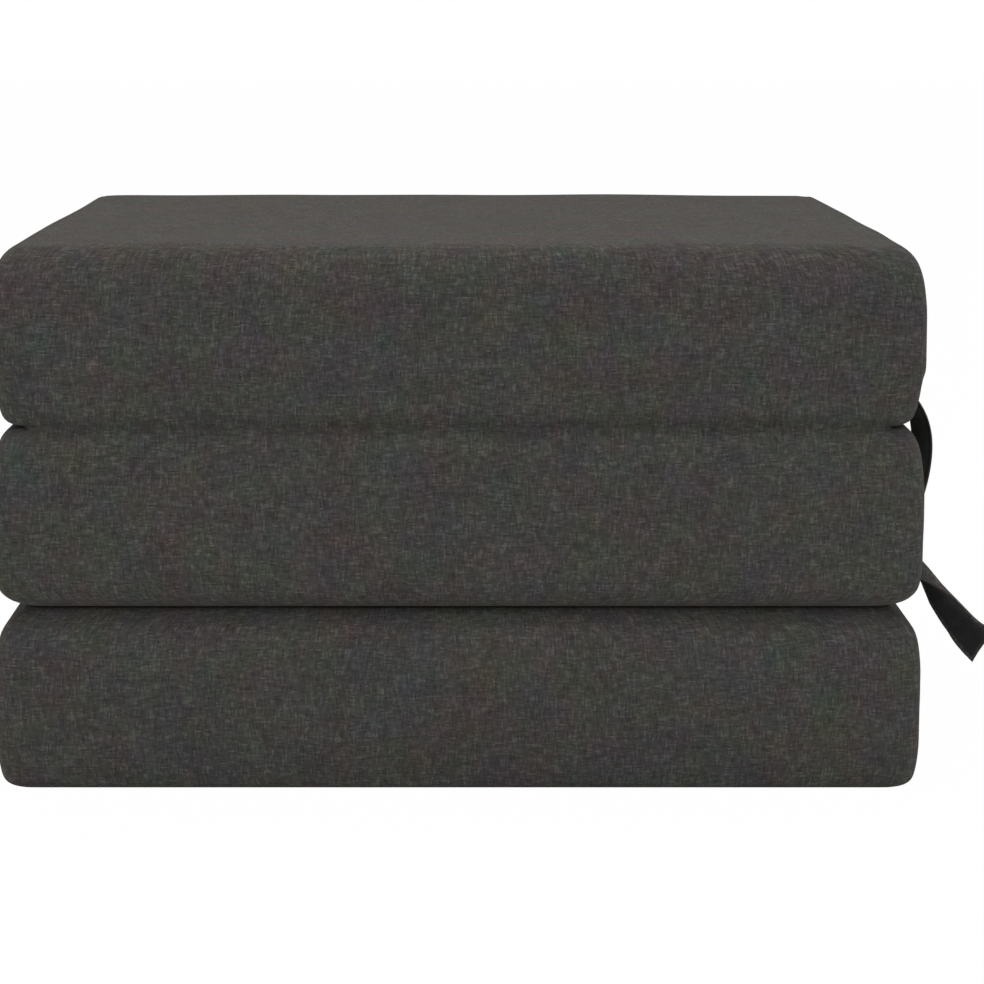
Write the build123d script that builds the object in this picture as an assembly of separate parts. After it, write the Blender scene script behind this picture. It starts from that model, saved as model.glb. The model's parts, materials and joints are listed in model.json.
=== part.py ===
from build123d import *
import math
import os

# A guest bed of three equal upholstered foam blocks. Stacked, they are an ottoman. Folded out, they are a bed.
# The origin is on the floor under the centre of the stack. +X is the side with the straps and -Y is the front.
# The top block folds out over the front edge of the middle block, and the middle block over the back edge of
# the bottom block. All sizes are in millimetres.

# One block, and the stack
block_width = 762
block_depth = 635
block_height = 149.7
stack_gap = 0.3
plan_corner_radius = 40

# The rounding of a block's edges, seen in section
upper_edge_reach = 22
upper_edge_drop = 40
lower_edge_reach = 18
lower_edge_rise = 28
side_bulge = 0.8
crest_height = 67
edge_turn_degrees = (0, 15, 30, 45, 60, 75, 90)

# The crown on top of a block
crown_rise = 1.5
crown_reach = 110
crown_shoulder_reach_share = 0.4
crown_shoulder_rise_share = 0.7

# Cover and core
cover_thickness = 1.2
core_clearance = 0.3
cut_overrun = 5

# Cloth hinges between the blocks
web_thickness = 1.2
web_seat_clearance = 0.3
web_parting = 0.15
fold_clearance = 0.2

# Zip in the left side of each cover
zip_end_margin = 12
zip_opening_height = 22
zip_tape_thickness = 0.6
zip_tape_recess = 0.5
zip_parting = 0.1
zip_chain_width = 5.6
zip_chain_height = 1.8
zip_chain_rounding = 0.6
zip_chain_end = 10
zip_stop_length = 3
zip_stop_width = 7
zip_stop_height = 2.2
zip_running_clearance = 0.3

# Zip slider and its pull
slider_length = 10
slider_wall = 0.9
slider_tail_width = 7.6
slider_nose_width = 9.6
slider_rounding = 0.3
bridge_width = 1.6
bridge_span = 6.8
bridge_bar = 1
pull_pin_radius = 0.6
pull_arm = 1.1
pull_ring_length = 6.5
pull_length = 30
pull_width = 7
pull_tip_radius = 3
pull_hole_radius = 1.2

# Closing straps on the right side
strap_length = 150
strap_width = 50
strap_thickness = 1.8
strap_tape_thickness = 1.2
strap_tape_width = 42
strap_sewn_gap = 0.1
strap_root_depth = 14
strap_seat_clearance = 0.3
strap_stand_off = 2

# How each strap bends down from its seam, rolls about its own line and curls across its width, from the seam to
# the end in equal steps. The curl is the angle that each half of the width turns through.
upper_strap_bend_degrees = (10, 30, 53, 66, 78, 88, 96, 101, 106, 110)
upper_strap_roll_degrees = (0, 3, 6, 9, 11, 12, 12, 12, 12, 12, 12)
upper_strap_curl_degrees = (0.4, 4.5, 7, 7, 7, 7, 7, 7, 7, 5, 5)
lower_strap_bend_degrees = (30, 34, 38, 41, 46, 52, 54, 52, 45, 30)
lower_strap_roll_degrees = (0, -11, -15, -10, 2, 15, 26, 32, 38, 50, 64)
lower_strap_curl_degrees = (1, 45, 64, 62, 52, 40, 36, 48, 58, 54, 38)
bare_strap_step_count = 2

block_names = ("bottom", "middle", "top")
pitch = block_height + stack_gap
side_plane = block_width / 2
front_plane = block_depth / 2


def save(shape, node):
    """Write one named piece."""
    export_step(shape, "parts/" + node + ".step")


def slab(x_low, x_high, y_low, y_high, z_low, z_high):
    """A square-edged piece between two corners."""
    size = Box(x_high - x_low, y_high - y_low, z_high - z_low)
    return Pos((x_low + x_high) / 2, (y_low + y_high) / 2, (z_low + z_high) / 2) * size


def edge_fall(reach, fall, draw_in):
    """How far above or below a block's flat face its rounded edge lies where it is drawn in by draw_in."""
    sine = (reach - draw_in) / (reach - side_bulge)
    return fall * (1 - math.sqrt(1 - sine * sine))


def side_profile():
    """Draw-in and height of the cover up one side of a block, from the flat under face to the crown."""
    lower = []
    upper = []
    for turn in edge_turn_degrees:
        sine = math.sin(math.radians(turn))
        cosine = math.cos(math.radians(turn))
        lower_draw_in = lower_edge_reach * (1 - sine) + side_bulge * sine
        upper_draw_in = upper_edge_reach * (1 - sine) + side_bulge * sine
        lower.append((lower_draw_in, lower_edge_rise * (1 - cosine)))
        upper.append((upper_draw_in, block_height - crown_rise - upper_edge_drop * (1 - cosine)))
    upper.reverse()
    shoulder_draw_in = upper_edge_reach + (crown_reach - upper_edge_reach) * crown_shoulder_reach_share
    shoulder_height = block_height - crown_rise * (1 - crown_shoulder_rise_share)
    crown = [(shoulder_draw_in, shoulder_height), (crown_reach, block_height)]
    return lower + [(0, crest_height)] + upper + crown


def plan_outline(draw_in, height):
    """A block's outline in plan, drawn in all round."""
    width = block_width - 2 * draw_in
    depth = block_depth - 2 * draw_in
    return Plane.XY.offset(height) * RectangleRounded(width, depth, plan_corner_radius)


def block_form(inset):
    """The crowned form of a block with rounded edges, all its faces moved in by inset."""
    squeeze_share = (block_height - 2 * inset) / block_height
    outlines = []
    for draw_in, height in side_profile():
        outlines.append(plan_outline(draw_in + inset, inset + height * squeeze_share))
    return loft(outlines, ruled=True)


def plan_prism(draw_in, low, high):
    """A straight prism on a block's outline, to part the cover at its seams."""
    return extrude(plan_outline(draw_in, low), high - low)


def zip_half_length():
    """Half the length of the zip opening."""
    return front_plane - plan_corner_radius - zip_end_margin


def cover_pieces():
    """The sewn panels of one cover, lying on the floor: one name and shape each."""
    skin = block_form(0) - block_form(cover_thickness)
    top_cutter = plan_prism(upper_edge_reach, crest_height, block_height + cut_overrun)
    bottom_cutter = plan_prism(lower_edge_reach, -cut_overrun, crest_height)
    wall = skin - top_cutter - bottom_cutter
    left_low = -side_plane - cut_overrun
    left_high = -side_plane + plan_corner_radius
    half = zip_half_length()
    opening_low = crest_height - zip_opening_height / 2
    opening_high = crest_height + zip_opening_height / 2
    top = block_height + cut_overrun
    left_side = slab(left_low, left_high, -half, half, -cut_overrun, top)
    below_zip = slab(left_low, left_high, -half, half, -cut_overrun, opening_low)
    above_zip = slab(left_low, left_high, -half, half, opening_high, top)
    return {
        "cover_top_panel": skin & top_cutter,
        "cover_bottom_panel": skin & bottom_cutter,
        "cover_band": wall - left_side,
        "zip_panel_lower": wall & below_zip,
        "zip_panel_upper": wall & above_zip,
    }


def zip_plane():
    """On the left side at the crest: local X runs to the front, Y up, Z out of the side."""
    return Plane(origin=(-side_plane, 0, crest_height), x_dir=(0, -1, 0), z_dir=(-1, 0, 0))


def zip_tape(upper):
    """One of the two woven tapes that the chain is on."""
    half = zip_half_length() - zip_parting
    outer_edge = zip_opening_height / 2 - zip_parting
    low = -zip_tape_recess - zip_tape_thickness
    if upper:
        return slab(-half, half, zip_parting, outer_edge, low, -zip_tape_recess)
    return slab(-half, half, -outer_edge, -zip_parting, low, -zip_tape_recess)


def zip_chain():
    """The closed chain, a low bar with rounded outer edges."""
    half = zip_half_length() - zip_chain_end
    width = zip_chain_width / 2
    bar = slab(-half, half, -width, width, -zip_tape_recess, zip_chain_height - zip_tape_recess)
    outer_edges = bar.faces().sort_by(Axis.Z)[-1].edges().filter_by(Axis.X)
    return fillet(outer_edges, zip_chain_rounding)


def zip_stops():
    """The two stops, one past each end of the chain."""
    near = zip_half_length() - zip_chain_end + zip_parting
    far = near + zip_stop_length
    width = zip_stop_width / 2
    high = zip_stop_height - zip_tape_recess
    first = slab(-far, -near, -width, width, -zip_tape_recess, high)
    last = slab(near, far, -width, width, -zip_tape_recess, high)
    return Compound([first, last])


def slider_start():
    """Local X of the closed slider's centre, beside the stop at the back."""
    return -(zip_half_length() - zip_chain_end) + zip_running_clearance + slider_length / 2


def slider_travel():
    """How far the slider runs to open the zip."""
    return -2 * slider_start()


def slider_plate_top():
    """Local Z of the slider's outer face."""
    return zip_chain_height - zip_tape_recess + zip_running_clearance + slider_wall


def pull_pin_height():
    """Local Z of the pin that the pull turns on."""
    return slider_plate_top() + zip_running_clearance + pull_pin_radius


def zip_slider():
    """A channel that straddles the chain, with the bridge that holds the pull."""
    low = zip_running_clearance - zip_tape_recess
    top = slider_plate_top()
    half = slider_length / 2
    tail = slider_tail_width / 2
    nose = slider_nose_width / 2
    outline = Polyline((-half, -nose), (half, -tail), (half, tail), (-half, nose), close=True)
    body = extrude(Plane.XY.offset(low) * make_face(outline), top - low)
    body = fillet(body.faces().sort_by(Axis.Z)[-1].edges(), slider_rounding)
    channel_width = zip_chain_width / 2 + zip_running_clearance
    channel = slab(-slider_length, slider_length, -channel_width, channel_width, low, top - slider_wall)
    bar_low = pull_pin_height() + pull_pin_radius + zip_running_clearance
    bar_high = bar_low + bridge_bar
    span = bridge_span / 2
    width = bridge_width / 2
    bridge = slab(-span, span, -width, width, top, bar_high)
    eye = slab(-span + bridge_bar, span - bridge_bar, -width, width, top, bar_low)
    return Pos(slider_start(), 0, 0) * (body - channel + (bridge - eye))


def zip_pull():
    """A flat tab on a ring, with the ring's near bar under the slider's bridge."""
    height = pull_pin_height()
    arm_inner = bridge_width / 2 + zip_running_clearance
    arm_outer = arm_inner + pull_arm
    low = height - pull_pin_radius
    high = height + pull_pin_radius
    pin = Pos(0, 0, height) * Rot(90, 0, 0) * Cylinder(pull_pin_radius, 2 * arm_outer)
    arms = slab(0, pull_ring_length, -arm_outer, arm_outer, low, high)
    hole = slab(-pull_length, pull_ring_length, -arm_inner, arm_inner, low, high)
    tab = slab(pull_ring_length, pull_length, -pull_width / 2, pull_width / 2, low, high)
    corners = tab.edges().filter_by(Axis.Z).group_by(Axis.X)[-1]
    tab = fillet(corners, pull_tip_radius)
    eyelet = Pos(pull_length - pull_width / 2, 0, height) * Cylinder(pull_hole_radius, 2 * pull_pin_radius)
    return Pos(slider_start(), 0, 0) * (pin + (arms - hole) + (tab - eyelet))


def zip_pieces():
    """The zip of one cover, lying on the floor: one name and shape each."""
    plane = zip_plane()
    return {
        "zip_tape_lower": plane * zip_tape(False),
        "zip_tape_upper": plane * zip_tape(True),
        "zip_chain": plane * zip_chain(),
        "zip_stops": plane * zip_stops(),
        "zip_slider": plane * zip_slider(),
        "zip_pull": plane * zip_pull(),
    }


def web_leaf(front, above, fold_height):
    """One leaf of a cloth hinge, from its seam on a block to just short of the fold."""
    seat = web_thickness + web_seat_clearance
    if above:
        low = fold_height + web_parting
        high = fold_height + stack_gap / 2 + edge_fall(lower_edge_reach, lower_edge_rise, seat)
    else:
        low = fold_height - stack_gap / 2 - crown_rise - edge_fall(upper_edge_reach, upper_edge_drop, seat)
        high = fold_height - web_parting
    half = side_plane - plan_corner_radius
    near = -front_plane if front else front_plane - web_thickness
    return slab(-half, half, near, near + web_thickness, low, high)


def strap_stations(seam_height, bends, rolls):
    """Places along a strap, each with the strap's direction, width direction and outward direction."""
    step = strap_length / len(bends)
    place = Vector(side_plane + strap_stand_off, 0, seam_height)
    stations = []
    for number, roll in enumerate(rolls):
        bend = math.radians(bends[min(number, len(bends) - 1)])
        along = Vector(math.cos(bend), 0, -math.sin(bend))
        out = along.cross(Vector(0, 1, 0))
        turn = math.radians(roll)
        across = Vector(0, 1, 0) * math.cos(turn) - out * math.sin(turn)
        outward = out * math.cos(turn) + Vector(0, 1, 0) * math.sin(turn)
        stations.append((place, across, outward))
        place = place + along * step
    return stations


def strap_section(station, width, curl, low, high):
    """A thin curled section across a strap or tape, between two distances out of the strap's middle surface."""
    place, across, outward = station
    turn = math.radians(curl)
    radius = strap_width / 2 / turn
    centre = place - outward * (radius * math.cos(turn))

    def on_arc(distance, angle):
        return centre + across * (distance * math.sin(angle)) + outward * (distance * math.cos(angle))

    reach = width / 2 / radius
    outer = ThreePointArc(*[on_arc(radius + high, angle) for angle in (-reach, 0, reach)])
    inner = ThreePointArc(*[on_arc(radius + low, angle) for angle in (reach, 0, -reach)])
    return make_face([outer, Line(outer @ 1, inner @ 0), inner, Line(inner @ 1, outer @ 0)])


def strap_ribbon(stations, curls, width, low, high):
    """A strap or tape laid along its stations."""
    sections = []
    for station, curl in zip(stations, curls):
        sections.append(strap_section(station, width, curl, low, high))
    return loft(sections, ruled=True)


def strap_pieces(seam_height, bends, rolls, curls):
    """The cloth of a strap with its turned edge at the seam, and the fastening tape on its inner face."""
    stations = strap_stations(seam_height, bends, rolls)
    half = strap_thickness / 2
    cloth = strap_ribbon(stations, curls, strap_width, -half, half)
    edge = Pos(side_plane + strap_stand_off, 0, seam_height) * Rot(90, 0, 0) * Cylinder(half, strap_width)
    first = bare_strap_step_count
    tape_high = -half - strap_sewn_gap
    tape_low = tape_high - strap_tape_thickness
    tape = strap_ribbon(stations[first:], curls[first:], strap_tape_width, tape_low, tape_high)
    return cloth + edge, tape


def strap_root(seam_height):
    """The end of a strap that is sewn into the seam, in the notch between two blocks."""
    half = strap_thickness / 2
    inner = side_plane - strap_root_depth
    outer = side_plane + strap_stand_off - half - strap_seat_clearance
    width = strap_width / 2
    return slab(inner, outer, -width, width, seam_height - half, seam_height + half)


def upper_seam_height():
    """Height of the upper strap's middle, just under the rounded lower edge of the top block."""
    rise = edge_fall(lower_edge_reach, lower_edge_rise, strap_root_depth)
    return 2 * pitch + rise - strap_seat_clearance - strap_thickness / 2


def lower_seam_height():
    """Height of the lower strap's middle, just over the rounded upper edge of the bottom block."""
    drop = crown_rise + edge_fall(upper_edge_reach, upper_edge_drop, strap_root_depth)
    return block_height - drop + strap_seat_clearance + strap_thickness / 2


def build_blocks():
    """The three blocks, each with its core, cover and zip."""
    pieces = {"foam_core": block_form(cover_thickness + core_clearance)}
    pieces.update(cover_pieces())
    pieces.update(zip_pieces())
    for level, block in enumerate(block_names):
        for name, shape in pieces.items():
            save(Pos(0, 0, level * pitch) * shape, block + "_" + name)


def build_webs():
    """The cloth hinges: at the front between top and middle, at the back between middle and bottom."""
    front_fold = 2 * pitch - stack_gap / 2
    back_fold = pitch - stack_gap / 2
    save(web_leaf(True, True, front_fold), "front_fold_web_upper")
    save(web_leaf(True, False, front_fold), "front_fold_web_lower")
    save(web_leaf(False, True, back_fold), "back_fold_web_upper")
    save(web_leaf(False, False, back_fold), "back_fold_web_lower")


def build_straps():
    """The two closing straps that hang out of the right side seams."""
    cloth, tape = strap_pieces(
        upper_seam_height(), upper_strap_bend_degrees, upper_strap_roll_degrees, upper_strap_curl_degrees
    )
    save(cloth, "upper_strap")
    save(tape, "upper_strap_tape")
    save(strap_root(upper_seam_height()), "upper_strap_root")
    cloth, tape = strap_pieces(
        lower_seam_height(), lower_strap_bend_degrees, lower_strap_roll_degrees, lower_strap_curl_degrees
    )
    save(cloth, "lower_strap")
    save(tape, "lower_strap_tape")
    save(strap_root(lower_seam_height()), "lower_strap_root")


os.makedirs("parts", exist_ok=True)
build_blocks()
build_webs()
build_straps()
print("fold line, front and back", front_plane + fold_clearance)
print("fold heights", pitch - stack_gap / 2, 2 * pitch - stack_gap / 2)
print("strap line", side_plane + strap_stand_off, upper_seam_height(), lower_seam_height())
print("slider travel", slider_travel(), "start", -slider_start(), "pin", side_plane + pull_pin_height())
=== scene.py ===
"""The looks of a fold out guest bed, stacked as an ottoman: three cushioned blocks in heathered
charcoal cloth, with cloth hinges front and back, two closing straps on the right side and a zip in
the left side of each cover. All sizes are in metres."""

import json
import math

import bpy
from mathutils import Matrix, Vector, noise

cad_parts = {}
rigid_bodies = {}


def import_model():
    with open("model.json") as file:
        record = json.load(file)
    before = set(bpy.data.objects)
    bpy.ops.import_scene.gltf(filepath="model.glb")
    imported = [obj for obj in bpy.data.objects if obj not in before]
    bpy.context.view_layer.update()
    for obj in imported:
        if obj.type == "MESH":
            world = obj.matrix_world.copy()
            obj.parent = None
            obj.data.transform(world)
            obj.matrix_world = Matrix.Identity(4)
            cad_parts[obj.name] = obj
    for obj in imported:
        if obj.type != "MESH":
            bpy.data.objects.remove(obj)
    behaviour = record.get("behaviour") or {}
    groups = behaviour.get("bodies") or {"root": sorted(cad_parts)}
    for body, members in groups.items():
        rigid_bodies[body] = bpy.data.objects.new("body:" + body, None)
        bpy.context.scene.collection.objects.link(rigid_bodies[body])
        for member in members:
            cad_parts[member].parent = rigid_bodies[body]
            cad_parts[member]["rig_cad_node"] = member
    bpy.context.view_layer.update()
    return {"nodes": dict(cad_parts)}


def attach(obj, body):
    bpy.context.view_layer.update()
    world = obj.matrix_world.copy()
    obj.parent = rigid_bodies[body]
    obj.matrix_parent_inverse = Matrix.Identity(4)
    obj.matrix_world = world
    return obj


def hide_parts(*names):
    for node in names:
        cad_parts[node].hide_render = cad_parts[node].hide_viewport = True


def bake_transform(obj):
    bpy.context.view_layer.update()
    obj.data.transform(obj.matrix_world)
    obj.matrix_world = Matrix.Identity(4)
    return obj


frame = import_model()

BLOCKS = ("bottom", "middle", "top")
PITCH = 0.150
HALF_WIDTH = 0.381
HALF_DEPTH = 0.3175
PLAN_RADIUS = 0.018
FRONT_FOLD = 0.29985
BACK_FOLD = 0.14985


def deselect():
    """Nothing stays selected, so that the next operator works on its own piece alone."""
    bpy.ops.object.select_all(action="DESELECT")


def pick(piece):
    """Select one piece and make it the active one."""
    deselect()
    piece.select_set(True)
    bpy.context.view_layer.objects.active = piece


def new_piece(name):
    """Name what a primitive has just added."""
    piece = bpy.context.object
    piece.name = name
    piece.data.name = name
    return piece


def settle(piece):
    """Put a piece's place, turn and size into its mesh."""
    pick(piece)
    bpy.ops.object.transform_apply(location=True, rotation=True, scale=True)


def finish_with(piece, kind, **settings):
    """Add one modifier and apply it."""
    pick(piece)
    modifier = piece.modifiers.new(kind.title(), kind)
    for name, value in settings.items():
        setattr(modifier, name, value)
    bpy.ops.object.modifier_apply(modifier=modifier.name)


def join_up(pieces, name):
    """Join pieces into one, under one name."""
    deselect()
    for piece in pieces:
        piece.select_set(True)
    bpy.context.view_layer.objects.active = pieces[0]
    bpy.ops.object.join()
    joined = bpy.context.object
    joined.name = joined.data.name = name
    return joined


def face_outward(piece):
    """Turn every face of a piece outward."""
    pick(piece)
    bpy.ops.object.mode_set(mode="EDIT")
    bpy.ops.mesh.select_all(action="SELECT")
    bpy.ops.mesh.normals_make_consistent(inside=False)
    bpy.ops.object.mode_set(mode="OBJECT")


# Materials. The shade of a yarn changes about every 10 mm

YARN = 0.0014
SLUBS_PER_METRE = 100.0


class Finish:
    """A material's nodes, wired in the order they are added."""

    def __init__(self, name):
        self.material = bpy.data.materials.new(name)
        self.material.use_nodes = True
        self.tree = self.material.node_tree
        self.shader = self.tree.nodes["Principled BSDF"]

    def node(self, kind, settings=None, **inputs):
        made = self.tree.nodes.new("ShaderNode" + kind)
        for name, value in (settings or {}).items():
            setattr(made, name, value)
        for name, value in inputs.items():
            socket = made.inputs[int(name[1:])] if name[0] == "_" else made.inputs[name.replace("_", " ")]
            self.put(socket, value)
        return made

    def put(self, socket, value):
        if isinstance(value, bpy.types.NodeSocket):
            self.tree.links.new(value, socket)
        else:
            socket.default_value = value

    def math(self, operation, first, second=0.0):
        return self.node("Math", {"operation": operation}, _0=first, _1=second).outputs[0]

    def vector(self, x=0.0, y=0.0, z=0.0):
        return self.node("CombineXYZ", None, X=x, Y=y, Z=z).outputs[0]

    def noise(self, vector, scale, detail=2.0, rough=0.5, colour=False):
        made = self.node("TexNoise", None, Vector=vector, Scale=scale, Detail=detail, Roughness=rough)
        return made.outputs["Color" if colour else "Fac"]

    def ramp(self, value, *stops):
        made = self.node("ValToRGB", None, Fac=value)
        elements = made.color_ramp.elements
        while len(elements) < len(stops):
            elements.new(0.5)
        for element, (place, colour) in zip(elements, stops):
            element.position = place
            element.color = (*colour, 1)
        return made.outputs["Color"]

    def mix(self, blend, share, first, second):
        made = self.node("Mix", {"data_type": "RGBA", "blend_type": blend})
        self.put(made.inputs[0], share)
        self.put(made.inputs[6], first)
        self.put(made.inputs[7], second)
        return made.outputs[2]

    def bump(self, height, depth, strength=1.0):
        made = self.node("Bump", None, Height=height, Distance=depth, Strength=strength)
        self.put(self.shader.inputs["Normal"], made.outputs[0])

    def surface(self, **inputs):
        for name, value in inputs.items():
            self.put(self.shader.inputs[name.replace("_", " ")], value)


def charcoal_heather():
    """Plain woven cloth of mottled yarns: warp and weft cross one over one, each yarn changes shade
    along its length, and the dye drifts from brown to green to blue over a few centimetres."""
    cloth = Finish("charcoal_heather")
    flat = cloth.node("UVMap", {"uv_map": "weave"}).outputs[0]
    place = cloth.node("TexCoord").outputs["Object"]
    wander = cloth.noise(flat, 55.0, 2.0, colour=True)
    wander = cloth.node("VectorMath", {"operation": "SUBTRACT"}, _0=wander, _1=(0.5, 0.5, 0.5)).outputs[0]
    wander = cloth.node("VectorMath", {"operation": "SCALE"}, _0=wander, Scale=0.0022).outputs[0]
    flat = cloth.node("VectorMath", {"operation": "ADD"}, _0=flat, _1=wander).outputs[0]
    parts = cloth.node("SeparateXYZ", None, Vector=flat)
    across, along = parts.outputs[0], parts.outputs[1]
    warp_count = cloth.math("DIVIDE", across, YARN)
    weft_count = cloth.math("DIVIDE", along, YARN)
    warp_index = cloth.math("FLOOR", warp_count)
    weft_index = cloth.math("FLOOR", weft_count)
    warp_run = cloth.math("MULTIPLY", along, SLUBS_PER_METRE)
    weft_run = cloth.math("MULTIPLY", across, SLUBS_PER_METRE)
    warp_place = cloth.vector(cloth.math("MULTIPLY", warp_index, 5.17), warp_run, 4.0)
    weft_place = cloth.vector(weft_run, cloth.math("MULTIPLY", weft_index, 5.17), 9.0)
    warp_shade = cloth.noise(warp_place, 1.0, 2.0, 0.55)
    weft_shade = cloth.noise(weft_place, 1.0, 2.0, 0.55)
    crossing = cloth.math("ADD", warp_index, weft_index)
    crossing = cloth.math("MODULO", cloth.math("ABSOLUTE", crossing), 2.0)
    showing = cloth.math("ADD", cloth.math("MULTIPLY", crossing, 0.32), 0.34)
    over = cloth.mix("MIX", showing, warp_shade, weft_shade)
    shade = cloth.ramp(
        over,
        (0.34, (0.0330, 0.0325, 0.0309)),
        (0.45, (0.0480, 0.0472, 0.0446)),
        (0.54, (0.0620, 0.0609, 0.0574)),
        (0.66, (0.1040, 0.1020, 0.0958)),
    )
    drift = cloth.noise(place, 30.0, 3.0, 0.55, colour=True)
    warp_dye = cloth.noise(warp_place, 0.35, 2.0, 0.6, colour=True)
    weft_dye = cloth.noise(weft_place, 0.35, 2.0, 0.6, colour=True)
    yarn_dye = cloth.mix("MIX", crossing, warp_dye, weft_dye)
    dye = cloth.mix("MIX", 0.28, drift, yarn_dye)
    dye = cloth.mix("MULTIPLY", 1.0, dye, (2.0, 1.96, 1.92, 1.0))
    tint = cloth.mix("MIX", 0.38, (1.0, 1.0, 1.0, 1.0), dye)
    colour = cloth.mix("MULTIPLY", 1.0, shade, tint)
    warp_round = cloth.math("ABSOLUTE", cloth.math("SINE", cloth.math("MULTIPLY", warp_count, math.pi)))
    weft_round = cloth.math("ABSOLUTE", cloth.math("SINE", cloth.math("MULTIPLY", weft_count, math.pi)))
    height = cloth.math("MULTIPLY", warp_round, weft_round)
    height = cloth.math("ADD", height, cloth.math("MULTIPLY", over, 1.2))
    cloth.bump(height, 0.00025, 0.8)
    cloth.surface(Base_Color=colour, Roughness=0.94, Specular_IOR_Level=0.08)
    cloth.surface(Sheen_Weight=0.07, Sheen_Roughness=0.5)
    cloth.shader.inputs["Sheen Tint"].default_value = (0.88, 0.78, 0.72, 1)
    return cloth.material


def sewing_thread():
    """Spun polyester thread, a little darker than the cloth, with its twist."""
    thread = Finish("sewing_thread")
    place = thread.node("TexCoord").outputs["Object"]
    twist = thread.noise(place, 2600.0, 2.0)
    colour = thread.ramp(twist, (0.35, (0.020, 0.0195, 0.0185)), (0.65, (0.050, 0.0485, 0.046)))
    thread.bump(twist, 0.0001, 0.7)
    thread.surface(Base_Color=colour, Roughness=0.75, Specular_IOR_Level=0.3)
    return thread.material


def black_fastening_tape():
    """Woven nylon with a low dense pile of hooks, near black with a slight shine."""
    tape = Finish("black_fastening_tape")
    flat = tape.node("UVMap", {"uv_map": "weave"}).outputs[0]
    pile = tape.node("TexVoronoi", None, Vector=flat, Scale=900.0).outputs["Distance"]
    drift = tape.noise(flat, 140.0, 3.0)
    colour = tape.ramp(drift, (0.3, (0.0105, 0.0105, 0.0110)), (0.7, (0.0190, 0.0186, 0.0188)))
    tape.bump(pile, 0.0004, 0.7)
    tape.surface(Base_Color=colour, Roughness=0.7, Specular_IOR_Level=0.3, Sheen_Weight=0.1)
    return tape.material


def open_cell_foam():
    """Cream polyurethane foam with its fine open cells."""
    foam = Finish("open_cell_foam")
    place = foam.node("TexCoord").outputs["Object"]
    cells = foam.node("TexVoronoi", None, Vector=place, Scale=1100.0).outputs["Distance"]
    drift = foam.noise(place, 30.0, 3.0)
    colour = foam.ramp(drift, (0.3, (0.74, 0.69, 0.54)), (0.7, (0.83, 0.79, 0.65)))
    foam.bump(cells, 0.0004, 0.6)
    foam.surface(Base_Color=colour, Roughness=0.95, Specular_IOR_Level=0.1)
    return foam.material


def zip_tape_weave():
    """Dense black woven tape with fine ribs across it."""
    tape = Finish("zip_tape_weave")
    place = tape.node("TexCoord").outputs["Object"]
    parts = tape.node("SeparateXYZ", None, Vector=place)
    rib = tape.math("ABSOLUTE", tape.math("SINE", tape.math("MULTIPLY", parts.outputs[1], 5200.0)))
    row = tape.math("ABSOLUTE", tape.math("SINE", tape.math("MULTIPLY", parts.outputs[2], 3800.0)))
    drift = tape.noise(place, 90.0, 3.0)
    colour = tape.ramp(drift, (0.3, (0.014, 0.014, 0.015)), (0.7, (0.024, 0.0235, 0.024)))
    tape.bump(tape.math("ADD", rib, tape.math("MULTIPLY", row, 0.5)), 0.00018, 0.8)
    tape.surface(Base_Color=colour, Roughness=0.82, Specular_IOR_Level=0.25, Sheen_Weight=0.15)
    return tape.material


def moulded_nylon():
    """The zip's coil: black nylon, satin, a little dusty between its turns."""
    nylon = Finish("moulded_nylon")
    place = nylon.node("TexCoord").outputs["Object"]
    drift = nylon.noise(place, 240.0, 3.0)
    colour = nylon.ramp(drift, (0.35, (0.016, 0.016, 0.017)), (0.7, (0.030, 0.030, 0.031)))
    rough = nylon.ramp(drift, (0.3, (0.34, 0.34, 0.34)), (0.7, (0.50, 0.50, 0.50)))
    nylon.surface(Base_Color=colour, Roughness=rough)
    return nylon.material


def dark_plated_metal():
    """Black nickel on cast zinc, rubbed a little where it is handled."""
    metal = Finish("dark_plated_metal")
    place = metal.node("TexCoord").outputs["Object"]
    wear = metal.noise(place, 420.0, 4.0, 0.65)
    colour = metal.ramp(
        wear,
        (0.40, (0.045, 0.045, 0.048)),
        (0.62, (0.075, 0.074, 0.076)),
        (0.78, (0.22, 0.215, 0.21)),
    )
    rough = metal.ramp(wear, (0.3, (0.30, 0.30, 0.30)), (0.7, (0.46, 0.46, 0.46)))
    metal.bump(wear, 0.00004, 0.4)
    metal.surface(Base_Color=colour, Metallic=0.85, Roughness=rough)
    return metal.material


thread = sewing_thread()
finishes = {
    "cover_cloth": charcoal_heather(),
    "core_foam": open_cell_foam(),
    "fastening_tape": black_fastening_tape(),
    "zip_tape_cloth": zip_tape_weave(),
    "zip_chain_nylon": moulded_nylon(),
    "zip_metal": dark_plated_metal(),
}


def dress(piece, slot):
    """Give a piece the finish of one of the record's slots."""
    piece.data.materials.clear()
    piece.data.materials.append(finishes[slot])


# The covers of the blocks. Each edge is a list of places in section, from the seam to the side: how
# far in from the side it is, and how far above or below the block's flat face. The contact with the
# next block presses an edge flat.

FLOOR_EDGE = (
    (0.0140, 0.0000), (0.0096, 0.0010), (0.0062, 0.0034), (0.0040, 0.0072), (0.0026, 0.0128),
    (0.0014, 0.0210), (0.0004, 0.0340),
)
PRESSED_UNDER_EDGE = (
    (0.0250, 0.0000), (0.0190, 0.0012), (0.0114, 0.0050), (0.0066, 0.0098), (0.0030, 0.0150),
    (0.0012, 0.0220), (0.0002, 0.0350),
)
HINGED_UNDER_EDGE = (
    (0.0200, 0.0000), (0.0160, 0.0008), (0.0112, 0.0030), (0.0076, 0.0080), (0.0058, 0.0160),
    (0.0040, 0.0260), (0.0022, 0.0400),
)
PRESSED_UPPER_EDGE = (
    (0.0250, 0.0000), (0.0210, 0.0040), (0.0156, 0.0086), (0.0096, 0.0122), (0.0056, 0.0176),
    (0.0028, 0.0240), (0.0010, 0.0360),
)
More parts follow.
